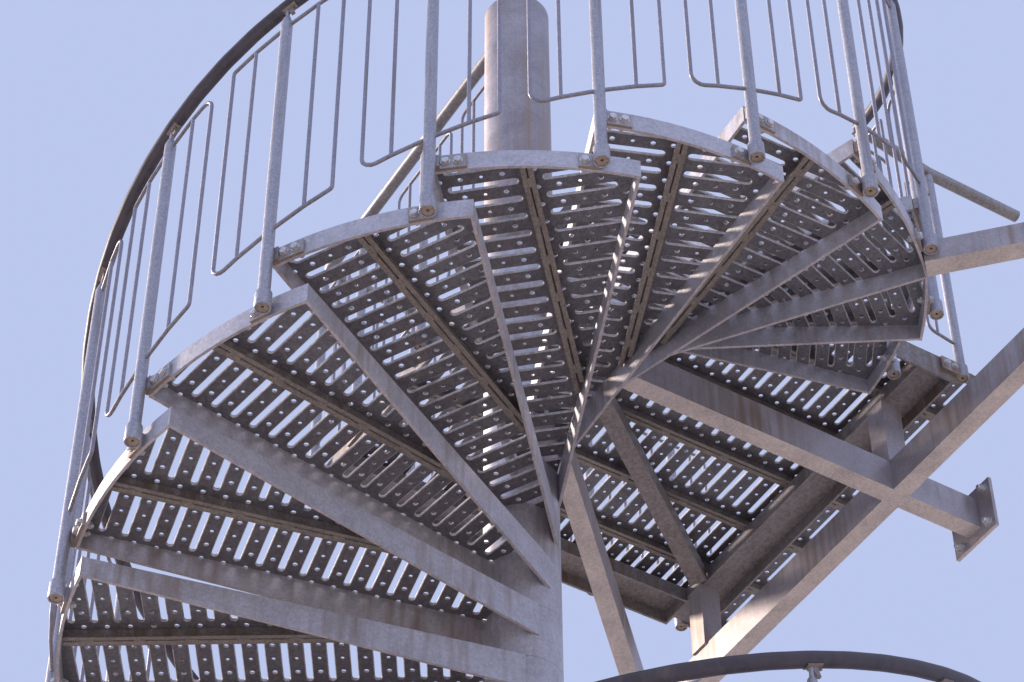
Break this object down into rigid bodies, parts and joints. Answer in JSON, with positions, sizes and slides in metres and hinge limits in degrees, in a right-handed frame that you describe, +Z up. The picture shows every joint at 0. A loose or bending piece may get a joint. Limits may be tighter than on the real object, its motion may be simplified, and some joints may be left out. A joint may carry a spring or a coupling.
{
  "type": "spiral fire escape stair tower",
  "caption": "Galvanised steel spiral fire escape stair around a round column, with perforated treads, bent-rod railings, dark handrail and wall-fixed landings.",
  "frame": {"origin": "column axis at the underside of the base plate", "axes": "+Z up along the column, +Y towards the building's wall, +X to the right seen from outside facing the wall"},
  "size_m": [3.4207, 3.1383, 9.522],
  "materials": {
    "column": "hot-dip galvanised, dull grey with warm stains",
    "treads": "hot-dip galvanised flat bar and sheet",
    "planks": "galvanised perforated sheet",
    "railing": "hot-dip galvanised tube and rod",
    "beams": "galvanised box section with brown stains",
    "handrail": "dark plastic-coated tube"
  },
  "bodies": {
    "root": {"base_plate": "column", "column_pipe": "column", "column_top_sleeve": "column", "column_cap": "column", "flight_1_treads": "treads", "flight_2_treads": "treads", "flight_3_treads": "treads", "flight_1_planks": "planks", "flight_2_planks": "planks", "flight_3_planks": "planks", "flight_1_posts": "railing", "flight_2_posts": "railing", "flight_3_posts": "railing", "flight_1_handrail": "handrail", "flight_2_handrail": "handrail", "flight_3_handrail": "handrail", "landing_1_frame": "treads", "landing_2_frame": "treads", "landing_3_frame": "treads", "landing_1_planks": "planks", "landing_2_planks": "planks", "landing_3_planks": "planks", "landing_1_bearers": "beams", "landing_2_bearers": "beams", "landing_3_bearers": "beams", "landing_1_right_guard": "railing", "landing_2_right_guard": "railing", "landing_3_right_guard": "railing", "landing_1_left_guard": "railing", "landing_2_left_guard": "railing", "landing_3_left_guard": "railing", "landing_3_end_guard": "railing", "wall_tie_1": "beams", "wall_tie_2": "beams", "wall_tie_3": "beams"}
  },
  "joints": []
}
